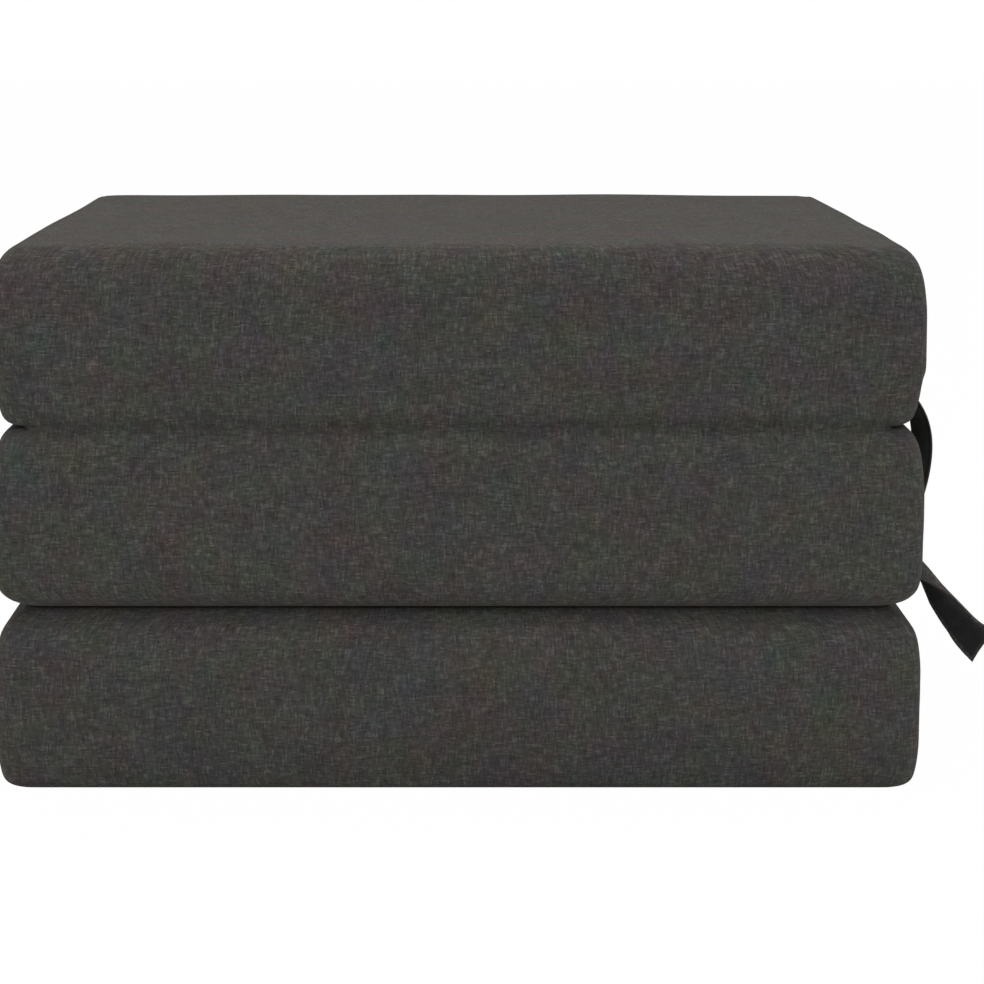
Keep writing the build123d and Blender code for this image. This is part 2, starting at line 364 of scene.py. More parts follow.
HINGED_UPPER_EDGE = (
    (0.0200, 0.0000), (0.0162, 0.0006), (0.0114, 0.0026), (0.0078, 0.0062), (0.0048, 0.0118),
    (0.0024, 0.0210), (0.0008, 0.0380),
)
OPEN_UPPER_EDGE = (
    (0.0220, 0.0000), (0.0166, 0.0014), (0.0116, 0.0052), (0.0074, 0.0110), (0.0042, 0.0190),
    (0.0020, 0.0280), (0.0008, 0.0400),
)
EDGES = {
    "bottom": (FLOOR_EDGE, PRESSED_UPPER_EDGE),
    "middle": (PRESSED_UNDER_EDGE, HINGED_UPPER_EDGE),
    "top": (HINGED_UNDER_EDGE, OPEN_UPPER_EDGE),
}
BLOCK_HEIGHT = 0.1497
SEAM_HALF = 0.0016
SEAM_DEPTH = 0.0011
CROWN = 0.0015
ZIP_LOW, ZIP_MIDDLE, ZIP_HIGH = 0.0555, 0.0670, 0.0785
SIDE_STEPS = (0.046, ZIP_LOW, ZIP_MIDDLE, ZIP_HIGH, 0.088, 0.098)
ZIP_REACH = 0.2655
ZIP_RECESS = 0.0013
LEFT_FACE = -0.372
ZIP_BORDER = 0.012
SWELL_LIMIT = 0.0010
TOP_WAVE, SIDE_WAVE = 0.0016, 0.0009
FOAM_MARGIN = 0.0016
FLAT_ENOUGH = 0.98

# The columns of a cover's grid, from the middle out: how many there are up to each place
COLUMNS_ACROSS = ((0, 0.0), (34, HALF_WIDTH - PLAN_RADIUS), (38, HALF_WIDTH))
COLUMNS_DEEP = ((0, 0.0), (25, ZIP_REACH), (28, HALF_DEPTH - PLAN_RADIUS), (32, HALF_DEPTH))


def flat_top(block):
    """Height of a block's flat upper face. The blocks under the top one are pressed flat, and it is
    crowned."""
    return BLOCK_HEIGHT - (CROWN if block == "top" else 0.0)


def section_of(block):
    """The places up one side of a block's cover, from the bottom seam to the top seam, with the
    seams' own grooves."""
    under, upper = EDGES[block]
    top = flat_top(block)
    seam_in, seam_up = under[0]
    steps = [(seam_in + SEAM_HALF, seam_up), (seam_in, seam_up + SEAM_DEPTH)]
    steps += [(seam_in - SEAM_HALF, seam_up)] + list(under[1:])
    steps += [(0.0, height) for height in SIDE_STEPS]
    steps += [(inset, top - drop) for inset, drop in reversed(upper[1:])]
    seam_in = upper[0][0]
    steps += [(seam_in - SEAM_HALF, top), (seam_in, top - SEAM_DEPTH), (seam_in + SEAM_HALF, top)]
    return steps


def column_place(share, columns):
    """Where the column lies that is this share of the way out from the middle of a grid."""
    count = abs(share) * columns[-1][0]
    for (first, near), (last, far) in zip(columns, columns[1:]):
        if count <= last + 0.01:
            return math.copysign(near + (far - near) * (count - first) / (last - first), share)
    return math.copysign(columns[-1][1], share)


def round_corners(piece, half_x, half_y):
    """Turn a grid's square corners into quarter circles in plan."""
    for corner in piece.data.vertices:
        over_x = abs(corner.co.x) - (half_x - PLAN_RADIUS)
        over_y = abs(corner.co.y) - (half_y - PLAN_RADIUS)
        if over_x > 0 and over_y > 0:
            share = max(over_x, over_y) / math.hypot(over_x, over_y)
            corner.co.x = math.copysign(half_x - PLAN_RADIUS + over_x * share, corner.co.x)
            corner.co.y = math.copysign(half_y - PLAN_RADIUS + over_y * share, corner.co.y)


def way_round(x, y):
    """How far a place on a block's side is from the middle of its left side, forward round it or,
    below zero, back. A place further in counts as the one beside it on the widest outline."""
    if y > 0:
        return -way_round(x, -y)
    inset = min(HALF_WIDTH - abs(x), HALF_DEPTH + y)
    x *= HALF_WIDTH / (HALF_WIDTH - inset)
    y *= HALF_DEPTH / (HALF_DEPTH - inset)
    inner_x, inner_y = HALF_WIDTH - PLAN_RADIUS, HALF_DEPTH - PLAN_RADIUS
    quarter = PLAN_RADIUS * math.pi / 2
    over_x, over_y = abs(x) - inner_x, -y - inner_y
    if over_x > 0 and over_y > 0:
        turn = PLAN_RADIUS * math.atan2(over_y, over_x)
        return inner_y + turn if x < 0 else inner_y + 2 * quarter + 2 * inner_x - turn
    if over_x > 0:
        return -y if x < 0 else 2 * (inner_y + quarter + inner_x) + y
    return inner_y + quarter + inner_x + x


def lay_out_weave(piece, steps, base):
    """Give each panel its own flat layout in metres, so that the weave keeps its size and follows
    the cloth."""
    lengths = [0.0]
    for first, second in zip(steps, steps[1:]):
        lengths.append(lengths[-1] + math.dist(first, second))
    height_of = sorted((base + step[1], length) for step, length in zip(steps, lengths))

    def up_the_side(z):
        for (low, at_low), (high, at_high) in zip(height_of, height_of[1:]):
            if z <= high:
                share = (z - low) / (high - low) if high > low else 0.0
                return at_low + (at_high - at_low) * max(0.0, share)
        return height_of[-1][1]

    mesh = piece.data
    layer = mesh.uv_layers.new(name="weave")
    whole = 4 * (HALF_WIDTH - PLAN_RADIUS + HALF_DEPTH - PLAN_RADIUS) + 2 * math.pi * PLAN_RADIUS
    for face in mesh.polygons:
        flat_face = abs(face.normal.z) > FLAT_ENOUGH
        first = None
        for index in face.loop_indices:
            place = mesh.vertices[mesh.loops[index].vertex_index].co
            if flat_face:
                layer.data[index].uv = (place.x, place.y + 3.0 + base * 7)
                continue
            u = way_round(place.x, place.y)
            if first is None:
                first = u
            if u - first > whole / 2:
                u -= whole
            if first - u > whole / 2:
                u += whole
            layer.data[index].uv = (u + 1.7 * base, up_the_side(place.z) + base * 9)


def drawn_up(name, steps, base):
    """A block drawn up from its bottom face, step by step through the places of its section."""
    half_x = HALF_WIDTH - steps[0][0]
    half_y = HALF_DEPTH - steps[0][0]
    across, deep = 2 * COLUMNS_ACROSS[-1][0], 2 * COLUMNS_DEEP[-1][0]
    deselect()
    low = (0, 0, base + steps[0][1])
    bpy.ops.mesh.primitive_grid_add(x_subdivisions=across, y_subdivisions=deep, size=2, location=low)
    piece = new_piece(name)
    settle(piece)
    for corner in piece.data.vertices:
        corner.co.x = column_place(corner.co.x, COLUMNS_ACROSS) * half_x / HALF_WIDTH
        corner.co.y = column_place(corner.co.y, COLUMNS_DEEP) * half_y / HALF_DEPTH
    round_corners(piece, half_x, half_y)
    pick(piece)
    bpy.ops.object.mode_set(mode="EDIT")
    bpy.ops.mesh.select_all(action="SELECT")
    for (inset, height), (next_inset, next_height) in zip(steps, steps[1:]):
        rise = (0, 0, next_height - height)
        bpy.ops.mesh.extrude_region_move(TRANSFORM_OT_translate={"value": rise})
        widen = (HALF_WIDTH - next_inset) / (HALF_WIDTH - inset)
        deepen = (HALF_DEPTH - next_inset) / (HALF_DEPTH - inset)
        bpy.ops.transform.resize(value=(widen, deepen, 1), center_override=(0, 0, base))
    bpy.ops.mesh.select_all(action="SELECT")
    bpy.ops.mesh.normals_make_consistent(inside=False)
    bpy.ops.mesh.select_all(action="DESELECT")
    bpy.ops.object.mode_set(mode="OBJECT")
    return piece


def sewn_cover(block, level):
    """The cover of one block, with the zip's channel sunk into its left side."""
    base = level * PITCH
    steps = section_of(block)
    cover = drawn_up(block + "_cover", steps, base)
    for face in cover.data.polygons:
        at = face.center
        in_band = base + ZIP_LOW < at.z < base + ZIP_HIGH
        face.select = in_band and at.x < LEFT_FACE and abs(at.y) < ZIP_REACH
    bpy.ops.object.mode_set(mode="EDIT")
    bpy.ops.mesh.inset(thickness=0.0003, depth=-ZIP_RECESS)
    bpy.ops.object.mode_set(mode="OBJECT")
    lay_out_weave(cover, steps, base)
    return cover


def held_still(place, block, base):
    """Whether the swelling leaves a place of the cover alone: its seams, its zip channel and what
    presses on it."""
    up = place.z - base
    by_the_zip = abs(place.y) < ZIP_REACH + ZIP_BORDER and ZIP_LOW - 0.001 < up < ZIP_HIGH + 0.001
    if by_the_zip and place.x < LEFT_FACE:
        return True
    if up < SEAM_DEPTH + 0.0002:
        return True
    return up > BLOCK_HEIGHT - SEAM_DEPTH - 0.0002 if block != "top" else is_top_seam(place, up)


def is_top_seam(place, up):
    """Whether a place lies in the groove of the top block's upper seam."""
    inset = min(HALF_WIDTH - abs(place.x), HALF_DEPTH - abs(place.y))
    reach = OPEN_UPPER_EDGE[0][0]
    return up > 0.14 and reach - 0.002 < inset < reach + 0.002


def swell(cover, block, base):
    """Fill a sewn cover: it is blown up a little as cloth and held at its seams, and each place
    moves only so far, and only out."""
    group = cover.vertex_groups.new(name="held")
    mesh = cover.data
    start = [corner.co.copy() for corner in mesh.vertices]
    normals = [corner.normal.copy() for corner in mesh.vertices]
    group.add([i for i, place in enumerate(start) if held_still(place, block, base)], 1.0, "REPLACE")
    pick(cover)
    cloth = cover.modifiers.new("Cloth", "CLOTH")
    settings = cloth.settings
    settings.quality = 5
    settings.mass = 0.3
    settings.tension_stiffness = 12
    settings.compression_stiffness = 12
    settings.bending_stiffness = 1.5
    settings.use_pressure = True
    settings.uniform_pressure_force = 4
    settings.vertex_group_mass = "held"
    settings.effector_weights.gravity = 0
    cloth.collision_settings.use_collision = False
    scene = bpy.context.scene
    for moment in range(1, 13):
        scene.frame_set(moment)
    bpy.ops.object.modifier_apply(modifier=cloth.name)
    scene.frame_set(1)
    for corner, before in zip(mesh.vertices, start):
        move = corner.co - before
        inward = move.dot(normals[corner.index])
        if inward < 0:
            move -= normals[corner.index] * inward
        if move.length > SWELL_LIMIT:
            move *= SWELL_LIMIT / move.length
        corner.co = before + move
    cover.vertex_groups.clear()


def ease(cover, block, base):
    """The slow waves of hand-filled foam, under two millimetres, away from where the blocks press on
    each other. The hinged sides stay flat, because they lie face to face when the bed is folded out."""
    top = base + BLOCK_HEIGHT
    for corner in cover.data.vertices:
        place, normal = corner.co, corner.normal
        if held_still(place, block, base):
            continue
        wave = noise.noise(Vector((place.x * 7.0, place.y * 7.0, place.z * 9.0 + base)))
        size = TOP_WAVE if (block == "top" and normal.z > 0.7) else SIDE_WAVE
        corner.co = place + normal * (wave * size)
        corner.co.z = max(base, corner.co.z) if block == "top" else min(max(base, corner.co.z), top)
        if block != "bottom":
            corner.co.y = max(-HALF_DEPTH, corner.co.y)
        if block != "top":
            corner.co.y = min(HALF_DEPTH, corner.co.y)


for level, block in enumerate(BLOCKS):
    base = level * PITCH
    cover = sewn_cover(block, level)
    swell(cover, block, base)
    ease(cover, block, base)
    finish_with(cover, "SUBSURF", levels=1, render_levels=1)
    pick(cover)
    bpy.ops.object.shade_smooth()
    dress(cover, "cover_cloth")
    parts = ("cover_top_panel", "cover_bottom_panel", "cover_band", "zip_panel_lower", "zip_panel_upper")
    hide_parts(*[f"{block}_{part}" for part in parts])
    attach(cover, block + "_block")


# Foam inside each cover, its edges squeezed round by the cloth

for level, block in enumerate(BLOCKS):
    under, upper = EDGES[block]
    squeeze = (BLOCK_HEIGHT - 2 * FOAM_MARGIN) / BLOCK_HEIGHT
    places = list(under) + [(inset, flat_top(block) - drop) for inset, drop in reversed(upper)]
    steps = [(inset + FOAM_MARGIN, FOAM_MARGIN + height * squeeze) for inset, height in places]
    core = drawn_up(block + "_foam", steps, level * PITCH)
    pick(core)
    bpy.ops.object.shade_smooth()
    dress(core, "core_foam")
    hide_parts(block + "_foam_core")
    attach(core, block + "_block")


# Cloth hinges: one strip of cloth each, drawn in to a soft valley at the fold. The section lists how
# far in from the block's face the cloth lies and how far above the fold, from below to above.

WEB_HALF = 0.3540
WEB_THICKNESS = 0.0010
WEB_COLUMNS = 90
WEB_WAVE = 0.0005
TUCKED_END = 0.985
FRONT_VALLEY = (
    (0.0034, -0.0370), (0.0022, -0.0300), (0.0016, -0.0240), (0.0019, -0.0190), (0.0028, -0.0145),
    (0.0048, -0.0100), (0.0074, -0.0056), (0.0102, -0.0020), (0.0119, 0.0002), (0.0106, 0.0024),
    (0.0078, 0.0052), (0.0050, 0.0086), (0.0030, 0.0125), (0.0024, 0.0180), (0.0023, 0.0250),
    (0.0025, 0.0330), (0.0034, 0.0410),
)
BACK_VALLEY = (
    (0.0022, -0.0420), (0.0012, -0.0350), (0.0012, -0.0280), (0.0020, -0.0200), (0.0040, -0.0110),
    (0.0068, -0.0050), (0.0084, 0.0000), (0.0070, 0.0050), (0.0040, 0.0110), (0.0022, 0.0180),
    (0.0012, 0.0250), (0.0010, 0.0310), (0.0020, 0.0380),
)


def flat_weave(piece):
    """Lay a piece's weave flat along whichever way each face looks."""
    mesh = piece.data
    layer = mesh.uv_layers.get("weave") or mesh.uv_layers.new(name="weave")
    for face in mesh.polygons:
        look = [abs(value) for value in face.normal]
        axis = look.index(max(look))
        for index in face.loop_indices:
            place = mesh.vertices[mesh.loops[index].vertex_index].co
            pair = [value for side, value in enumerate(place) if side != axis]
            layer.data[index].uv = (pair[0] + 2.3 * axis, pair[1] + 1.1)


def hinge_web(name, valley, front, fold):
    """One cloth hinge, from the cover below the fold to the cover above it."""
    rows = len(valley) - 1
    deselect()
    bpy.ops.mesh.primitive_grid_add(
        x_subdivisions=WEB_COLUMNS, y_subdivisions=rows, size=2, location=(0, 0, 0)
    )
    web = new_piece(name)
    side = -1 if front else 1
    inner = HALF_WIDTH - PLAN_RADIUS
    for corner in web.data.vertices:
        row = round((corner.co.y + 1) / 2 * rows)
        inset, rise = valley[row]
        x = corner.co.x * WEB_HALF
        over = max(0.0, abs(x) - inner)
        inset += PLAN_RADIUS - math.sqrt(PLAN_RADIUS * PLAN_RADIUS - over * over)
        inset += max(0.0, abs(corner.co.x) - TUCKED_END) * 0.5
        wave = noise.noise(Vector((x * 16.0, rise * 30.0, fold * 9.0))) * WEB_WAVE
        corner.co = (x, side * (HALF_DEPTH - inset + wave), fold + rise)
    web.data.update()
    pick(web)
    bpy.ops.object.mode_set(mode="EDIT")
    bpy.ops.mesh.select_all(action="SELECT")
    if not front:
        bpy.ops.mesh.flip_normals()
    bpy.ops.object.mode_set(mode="OBJECT")
    finish_with(web, "SUBSURF", levels=1, render_levels=1)
    finish_with(web, "SOLIDIFY", thickness=WEB_THICKNESS, offset=-1)
    pick(web)
    bpy.ops.object.shade_smooth()
    flat_weave(web)
    dress(web, "cover_cloth")
    fold_name = "front_fold" if front else "back_fold"
    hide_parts(fold_name + "_web_upper", fold_name + "_web_lower")
    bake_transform(web)


hinge_web("front_cloth_hinge", FRONT_VALLEY, True, FRONT_FOLD)
hinge_web("back_cloth_hinge", BACK_VALLEY, False, BACK_FOLD)

# The closing straps. Each is one length of folded cloth, from its root in the seam to its end, with
# black fastening tape sewn to its inner face. It bends down from the seam, rolls about its own line
# and curls across its width. The curl is the angle that each half of the width turns through.

STRAP_LENGTH = 0.150
STRAP_WIDTH = 0.050
STRAP_THICKNESS = 0.0018
STRAP_ROOT = 0.019
STRAP_LINE = 0.383
TAPE_START, TAPE_END = 0.0305, 0.1470
TAPE_THICKNESS = 0.0012
TAPE_GAP = 0.0001
STITCH_LINE = 0.0194
STITCH_PITCH = 0.0032
STITCH_HALVES = (0.00125, 0.00024, 0.00018)
PATH_STEP = 0.0005
PRESSED_END = 0.55
STRAPS = {
    "upper": {
        "seam": 0.299568,
        "bends": (10, 30, 53, 66, 78, 88, 96, 101, 106, 110),
        "rolls": (0, 3, 6, 9, 11, 12, 12, 12, 12, 12, 12),
        "curls": (0.4, 4.5, 7, 7, 7, 7, 7, 7, 7, 5, 5),
    },
    "lower": {
        "seam": 0.146443,
        "bends": (30, 34, 38, 41, 46, 52, 54, 52, 45, 30),
        "rolls": (0, -11, -15, -10, 2, 15, 26, 32, 38, 50, 64),
        "curls": (1, 45, 64, 62, 52, 40, 36, 48, 58, 54, 38),
    },
}

# Across half of a strap or tape: how far out each column of its grid is, and how thick the cloth is
# there as a share of its full thickness. It is drawn in along the stitch line and full along the
# folded edge.
STRAP_COLUMNS = (
    (0.0, 0.90), (0.0045, 0.90), (0.0090, 0.90), (0.0130, 0.90), (0.0165, 0.89),
    (0.0184, 0.82), (0.0194, 0.70), (0.0203, 0.80), (0.0214, 0.97), (0.0228, 1.00),
    (0.0240, 0.93), (0.0247, 0.70), (0.0250, 0.42),
)
TAPE_COLUMNS = (
    (0.0, 1.00), (0.0050, 1.00), (0.0100, 1.00), (0.0145, 1.00), (0.0180, 0.98),
    (0.0187, 0.74), (0.0194, 0.62), (0.0202, 0.66), (0.0208, 0.60), (0.0210, 0.45),
)


def read_off(table, place):
    """The value at a place in a table of (place, value) pairs."""
    for (first, near), (last, far) in zip(table, table[1:]):
        if place <= last:
            return near + (far - near) * max(0.0, (place - first) / (last - first))
    return table[-1][1]


def strap_course(strap):
    """The middle line of a strap: at each small step the place, the directions across and outward,
    and how far the strap curls."""
    bends, rolls, curls = strap["bends"], strap["rolls"], strap["curls"]
    step = STRAP_LENGTH / len(bends)
    bend_table = [(-0.3 * step, 0.0)]
    bend_table += [((number + 0.5) * step, bend) for number, bend in enumerate(bends)]
    roll_table = [(number * step, roll) for number, roll in enumerate(rolls)]
    curl_table = [(number * step, curl) for number, curl in enumerate(curls)]
    run = -STRAP_ROOT
    place = Vector((STRAP_LINE - STRAP_ROOT, 0, strap["seam"]))
    course = []
    while run <= STRAP_LENGTH + PATH_STEP / 2:
        bend = math.radians(read_off(bend_table, run))
        roll = math.radians(read_off(roll_table, run))
        along = Vector((math.cos(bend), 0, -math.sin(bend)))
        out = Vector((math.sin(bend), 0, math.cos(bend)))
        across = Vector((0, 1, 0)) * math.cos(roll) - out * math.sin(roll)
        outward = out * math.cos(roll) + Vector((0, 1, 0)) * math.sin(roll)
        course.append((place.copy(), across, outward, math.radians(read_off(curl_table, run))))
        place += along * PATH_STEP
        run += PATH_STEP
    return course


def on_strap(course, run, sideways, height):
    """The place at a length from the seam, a distance sideways and a height out of the strap's
    middle surface."""
    index = min(len(course) - 1, max(0, round((run + STRAP_ROOT) / PATH_STEP)))
    place, across, outward, curl = course[index]
    radius = STRAP_WIDTH / 2 / curl
    angle = sideways / radius
    reach = (radius + height) * math.sin(angle)
    rise = (radius + height) * math.cos(angle) - radius * math.cos(curl)
    return place + across * reach + outward * rise


def cloth_strip(name, course, columns, start, end, rows, height, thickness):
    """A strip of cloth laid along a strap's course, thick as its columns say, with its long edges
    rounded."""
    count = len(columns) - 1
    deselect()
    bpy.ops.mesh.primitive_grid_add(
        x_subdivisions=2 * count, y_subdivisions=rows, size=2, location=(0, 0, 0)
    )
    strip = new_piece(name)
    layer = strip.data.uv_layers.new(name="weave")
    for loop in strip.data.loops:
        flat = strip.data.vertices[loop.vertex_index].co
        column = round(flat.x * count)
        out = math.copysign(columns[abs(column)][0], column)
        layer.data[loop.index].uv = (out + 5.0, flat.y * (end - start) / 2 + height * 900)
    group = strip.vertex_groups.new(name="fullness")
    for corner in strip.data.vertices:
        column = round(corner.co.x * count)
        row = (corner.co.y + 1) / 2
        sideways, share = columns[abs(column)]
        run = start + (end - start) * row
        if row > 0.999:
            share *= PRESSED_END
        group.add([corner.index], share, "REPLACE")
        corner.co = on_strap(course, run, math.copysign(sideways, column), height)
    strip.data.update()
    finish_with(
        strip, "SOLIDIFY", thickness=thickness, offset=0, vertex_group="fullness",
        thickness_vertex_group=0.0,
    )
    finish_with(strip, "SUBSURF", levels=1, render_levels=1)
    strip.vertex_groups.clear()
    face_outward(strip)
    bpy.ops.object.shade_smooth()
    return strip


def one_stitch(name):
    """One stitch of thread, lying along X."""
    deselect()
    bpy.ops.mesh.primitive_uv_sphere_add(segments=6, ring_count=4, radius=1, location=(0, 0, 0))
    stitch = new_piece(name)
    stitch.rotation_euler = (0, math.pi / 2, 0)
    settle(stitch)
    stitch.scale = STITCH_HALVES
    settle(stitch)
    bpy.ops.object.shade_smooth()
    stitch.data.materials.append(thread)
    return stitch


def strap_stitching(name, course, low, high):
    """The stitches that hold the tape, seen on both faces of a strap."""
    first = one_stitch(name)
    stitches = [first]

    def sew(run, sideways, turned, height):
        place = on_strap(course, run, sideways, height)
        ahead = on_strap(course, run + 0.001, sideways, height)
        ahead -= on_strap(course, run - 0.001, sideways, height)
        beside = on_strap(course, run, sideways + 0.001, height)
        beside -= on_strap(course, run, sideways - 0.001, height)
        along = (beside if turned else ahead).normalized()
        up = ahead.cross(beside).normalized()
        copy = first.copy()
        copy.data = first.data.copy()
        bpy.context.scene.collection.objects.link(copy)
        copy.matrix_world = Matrix((along, up.cross(along), up)).transposed().to_4x4()
        copy.location = place
        stitches.append(copy)

    for height in (low, high):
        run = TAPE_START + 0.002
        while run < TAPE_END - 0.003:
            sew(run, STITCH_LINE, False, height)
            sew(run, -STITCH_LINE, False, height)
            run += STITCH_PITCH
        sideways = -STITCH_LINE + STITCH_PITCH
        while sideways < STITCH_LINE - STITCH_PITCH / 2:
            sew(TAPE_START + 0.0015, sideways, True, height)
            sew(TAPE_END - 0.0020, sideways, True, height)
            sideways += STITCH_PITCH
    bpy.data.objects.remove(stitches.pop(0))
    sewn = join_up(stitches, name)
    settle(sewn)
    return sewn


for which, block in (("upper", "top"), ("lower", "bottom")):
    course = strap_course(STRAPS[which])
    body = which + "_strap"
    name = which + "_closing_strap"
    fullest = STRAP_THICKNESS / STRAP_COLUMNS[0][1]
    folded = cloth_strip(name, course, STRAP_COLUMNS, -STRAP_ROOT, STRAP_LENGTH, 100, 0.0, fullest)
    dress(folded, "cover_cloth")
    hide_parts(body, body + "_root")
    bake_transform(folded)
    tape_height = -STRAP_THICKNESS / 2 - TAPE_GAP - TAPE_THICKNESS / 2
    tape = cloth_strip(
        which + "_hook_tape", course, TAPE_COLUMNS, TAPE_START, TAPE_END, 70, tape_height,
        TAPE_THICKNESS,
    )
    dress(tape, "fastening_tape")
    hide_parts(body + "_tape")
    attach(tape, body)
    tape_face = tape_height - 0.31 * TAPE_THICKNESS
    cloth_face = 0.39 * STRAP_THICKNESS
    sewn = strap_stitching(which + "_strap_stitching", course, tape_face, cloth_face)
    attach(sewn, body)


# The zip in the left side of each cover: two woven tapes, a coil chain, crimped stops, and the rows
# of stitches that hold the tapes. The slider and its pull are the CAD model's own, with their edges
# eased.

ZIP_TAPE_DEPTH = 0.0005
ZIP_TAPE_THICKNESS = 0.0006
ZIP_TAPE_NEAR, ZIP_TAPE_FAR = 0.0001, 0.0109
COIL_PITCH = 0.0019
COIL_REACH = 0.0028
COIL_RADIUS = 0.00056
COIL_OVERLAP = 0.0005
COIL_LEAN = 0.16
STITCH_ROW = 0.0135
CHAIN_HALF = 0.2555
STOP_MIDDLE = 0.2571
STOP_WIDTH, STOP_LENGTH, STOP_THICKNESS = 0.0026, 0.0066, 0.0019
STOP_ARCH = 0.0003
LEFT_SIDE = -HALF_WIDTH


def zip_tape(name, height, upward):
    """One woven tape, its inner edge by the coil."""
    deselect()
    bpy.ops.mesh.primitive_grid_add(x_subdivisions=150, y_subdivisions=4, size=2, location=(0, 0, 0))
    tape = new_piece(name)
    for corner in tape.data.vertices:
        out = ZIP_TAPE_NEAR + (ZIP_TAPE_FAR - ZIP_TAPE_NEAR) * (corner.co.y + 1) / 2
        along = corner.co.x * (ZIP_REACH - 0.0001)
        ripple = noise.noise(Vector((along * 60, out * 90, height * 40))) * 0.00008
        middle = LEFT_SIDE + ZIP_TAPE_DEPTH + ZIP_TAPE_THICKNESS / 2
        corner.co = (middle + ripple, -along, height + upward * out)
    tape.data.update()
    finish_with(tape, "SOLIDIFY", thickness=ZIP_TAPE_THICKNESS, offset=0)
    finish_with(tape, "BEVEL", width=0.00015, segments=2, limit_method="ANGLE")
    face_outward(tape)
    bpy.ops.object.shade_smooth()
    return tape


def coil_chain(name, height):
    """The closed coil: turns from the left and the right that lie one between the other."""
    turns = []
    for side in (-1, 1):
        deselect()
        bpy.ops.mesh.primitive_cylinder_add(
            vertices=8, radius=COIL_RADIUS, depth=COIL_REACH + COIL_OVERLAP, location=(0, 0, 0)
        )
        turn = new_piece(f"{name}_{side}")
        finish_with(turn, "BEVEL", width=0.0003, segments=1, limit_method="ANGLE")
        turn.rotation_euler = (COIL_LEAN * side, 0, 0)
        middle = side * (COIL_REACH - COIL_OVERLAP) / 2
        place_x = LEFT_SIDE + ZIP_TAPE_DEPTH - COIL_RADIUS - 0.0002
        turn.location = (place_x, CHAIN_HALF - 0.001 - (side + 1) * COIL_PITCH / 4, height + middle)
        settle(turn)
        count = int((2 * CHAIN_HALF - 0.0025) / COIL_PITCH)
        finish_with(
            turn, "ARRAY", count=count, use_relative_offset=False, use_constant_offset=True,
            constant_offset_displace=(0, -COIL_PITCH, 0),
        )
        turns.append(turn)
    chain = join_up(turns, name)
    bpy.ops.object.shade_smooth()
    return chain


def crimped_stops(name, height):
    """The stops past both ends of the chain, each a rounded crimp with a groove across its middle."""
    made = []
    for end in (-1, 1):
        deselect()
        bpy.ops.mesh.primitive_grid_add(x_subdivisions=2, y_subdivisions=6, size=1, location=(0, 0, 0))
        stop = new_piece(f"{name}_{end}")
        stop.scale = (STOP_WIDTH, STOP_LENGTH, 1)
        settle(stop)
        for corner in stop.data.vertices:
            corner.co.z = STOP_ARCH * math.cos(corner.co.y / (STOP_LENGTH / 2) * math.pi)
        finish_with(stop, "SOLIDIFY", thickness=STOP_THICKNESS, offset=0)
        finish_with(stop, "BEVEL", width=0.0004, segments=3, limit_method="ANGLE")
        stop.rotation_euler = (math.pi / 2, 0, math.pi / 2)
        stop.location = (LEFT_SIDE - 0.0006, end * STOP_MIDDLE, height)
        settle(stop)
        made.append(stop)
    stops = join_up(made, name)
    face_outward(stops)
    bpy.ops.object.shade_smooth_by_angle(angle=math.radians(40))
    return stops


def zip_stitching(name, height):
    """A row of stitches above and a row below the zip, through the cover."""
    rows = []
    for side in (-1, 1):
        stitch = one_stitch(f"{name}_{side}")
        stitch.rotation_euler = (0, 0, math.pi / 2)
        settle(stitch)
        stitch.location = (LEFT_SIDE - 0.0001, ZIP_REACH - 0.001, height + side * STITCH_ROW)
        settle(stitch)
        count = int(2 * ZIP_REACH / STITCH_PITCH)
        finish_with(
            stitch, "ARRAY", count=count, use_relative_offset=False, use_constant_offset=True,
            constant_offset_displace=(0, -STITCH_PITCH, 0),
        )
        rows.append(stitch)
    return join_up(rows, name)


def ease_edges(node):
    """Round the sharp edges of a metal piece of the CAD model a little."""
    weld = node.modifiers.new("Weld", "WELD")
    weld.merge_threshold = 0.00001
    bevel = node.modifiers.new("Bevel", "BEVEL")
    bevel.width = 0.0002
    bevel.segments = 2
    bevel.limit_method = "ANGLE"


for level, block in enumerate(BLOCKS):
    height = level * PITCH + ZIP_MIDDLE
    body = block + "_block"
    for part, upward in (("upper", 1), ("lower", -1)):
        tape = zip_tape(f"{block}_zip_{part}_side", height, upward)
        dress(tape, "zip_tape_cloth")
        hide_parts(f"{block}_zip_tape_{part}")
        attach(tape, body)
    chain = coil_chain(block + "_zip_coil", height)
    dress(chain, "zip_chain_nylon")
    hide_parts(block + "_zip_chain")
    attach(chain, body)
    stops = crimped_stops(block + "_zip_crimps", height)
    dress(stops, "zip_metal")
    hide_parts(block + "_zip_stops")
    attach(stops, body)
    sewn = zip_stitching(block + "_zip_stitching", height)
    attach(sewn, body)
    for part in ("zip_slider", "zip_pull"):
        node = frame["nodes"][f"{block}_{part}"]
        dress(node, "zip_metal")
        ease_edges(node)


# The room: a white floor that keeps a faint shadow, an even white surround, and two broad lamps

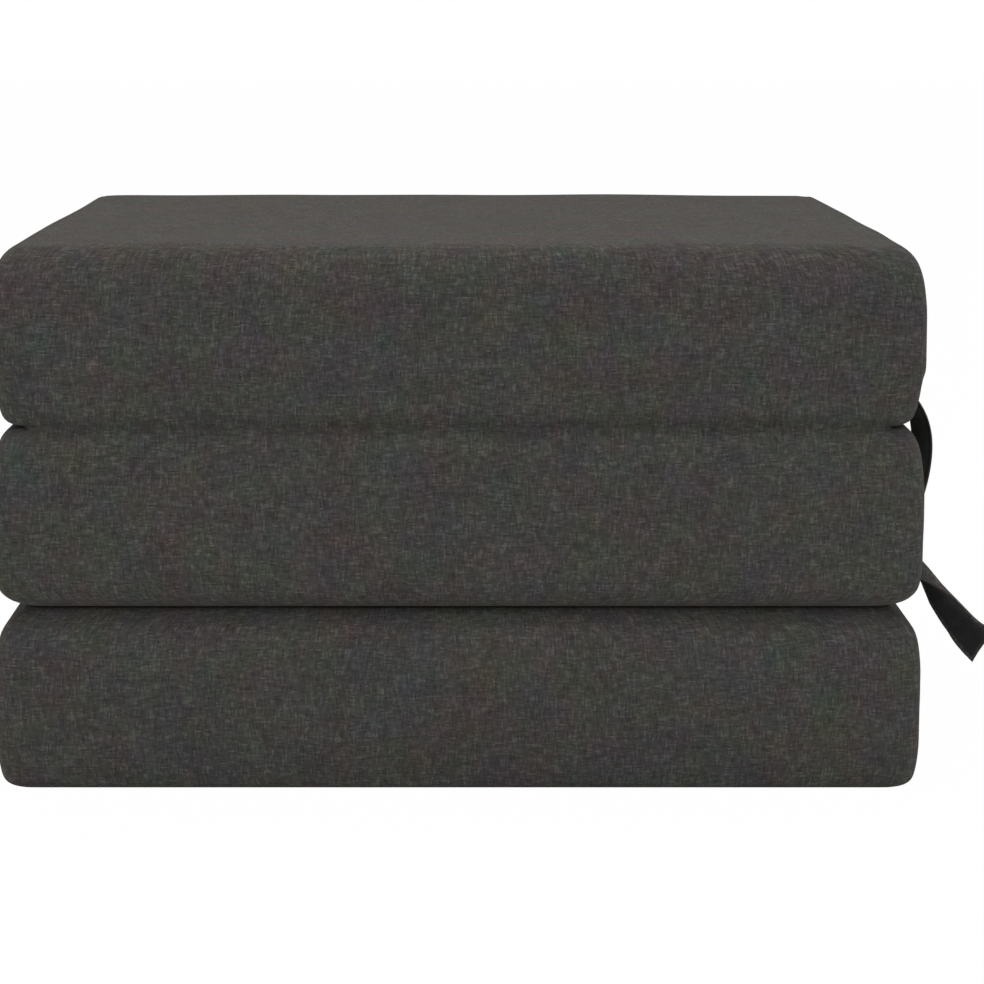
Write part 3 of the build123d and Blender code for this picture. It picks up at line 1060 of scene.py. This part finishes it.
deselect()
bpy.ops.mesh.primitive_plane_add(size=40, location=(0, 0, -0.0002))
floor = new_piece("floor")
settle(floor)
paint = bpy.data.materials.new("white_floor")
paint.use_nodes = True
tree = paint.node_tree
shader = tree.nodes["Principled BSDF"]
shader.inputs["Base Color"].default_value = (0.88, 0.88, 0.88, 1)
shader.inputs["Roughness"].default_value = 0.9
shader.inputs["Specular IOR Level"].default_value = 0.0
glow = tree.nodes.new("ShaderNodeEmission")
glow.inputs["Color"].default_value = (1, 1, 1, 1)
rays = tree.nodes.new("ShaderNodeLightPath")
blend = tree.nodes.new("ShaderNodeMixShader")
seen = tree.nodes.new("ShaderNodeMath")
seen.operation = "MULTIPLY"
seen.inputs[1].default_value = 0.985
tree.links.new(rays.outputs["Is Camera Ray"], seen.inputs[0])
tree.links.new(seen.outputs[0], blend.inputs[0])
tree.links.new(shader.outputs[0], blend.inputs[1])
tree.links.new(glow.outputs[0], blend.inputs[2])
tree.links.new(blend.outputs[0], tree.nodes["Material Output"].inputs["Surface"])
floor.data.materials.append(paint)

world = bpy.data.worlds.new("studio")
bpy.context.scene.world = world
world.use_nodes = True
tree = world.node_tree
backdrop = tree.nodes["Background"]
backdrop.inputs["Color"].default_value = (1, 1, 1, 1)
rays = tree.nodes.new("ShaderNodeLightPath")
level_of = tree.nodes.new("ShaderNodeMapRange")
level_of.inputs["To Min"].default_value = 0.58
level_of.inputs["To Max"].default_value = 1.0
tree.links.new(rays.outputs["Is Camera Ray"], level_of.inputs["Value"])
tree.links.new(level_of.outputs[0], backdrop.inputs["Strength"])


def lamp(name, place, aim, power, size, colour):
    """A broad soft lamp."""
    light = bpy.data.lights.new(name, "AREA")
    light.energy = power
    light.color = colour
    light.shape = "DISK"
    light.size = size
    made = bpy.data.objects.new(name, light)
    bpy.context.scene.collection.objects.link(made)
    made.location = place
    made.rotation_euler = (Vector(aim) - Vector(place)).to_track_quat("-Z", "Y").to_euler()


lamp("overhead", (0.0, -0.2, 3.0), (0, 0, 0.3), 34, 2.4, (1.0, 0.91, 0.86))
lamp("front_above", (0.0, -2.6, 3.0), (0, 0, 0.25), 34, 2.4, (1.0, 1.0, 0.99))

# The camera stands 2.5 m away, a little above the stack

camera_data = bpy.data.cameras.new("camera")
camera_data.lens = 101.55
camera_data.sensor_width = 36
camera_data.shift_x = 0.0416
camera_data.shift_y = -0.19
camera = bpy.data.objects.new("camera", camera_data)
bpy.context.scene.collection.objects.link(camera)
camera.location = (-0.0058, -2.5408, 0.6454)
camera.rotation_euler = (math.radians(90 - 6.24), 0, 0)
bpy.context.scene.camera = camera
bpy.context.scene.view_settings.view_transform = "Standard"

bpy.context.view_layer.update()
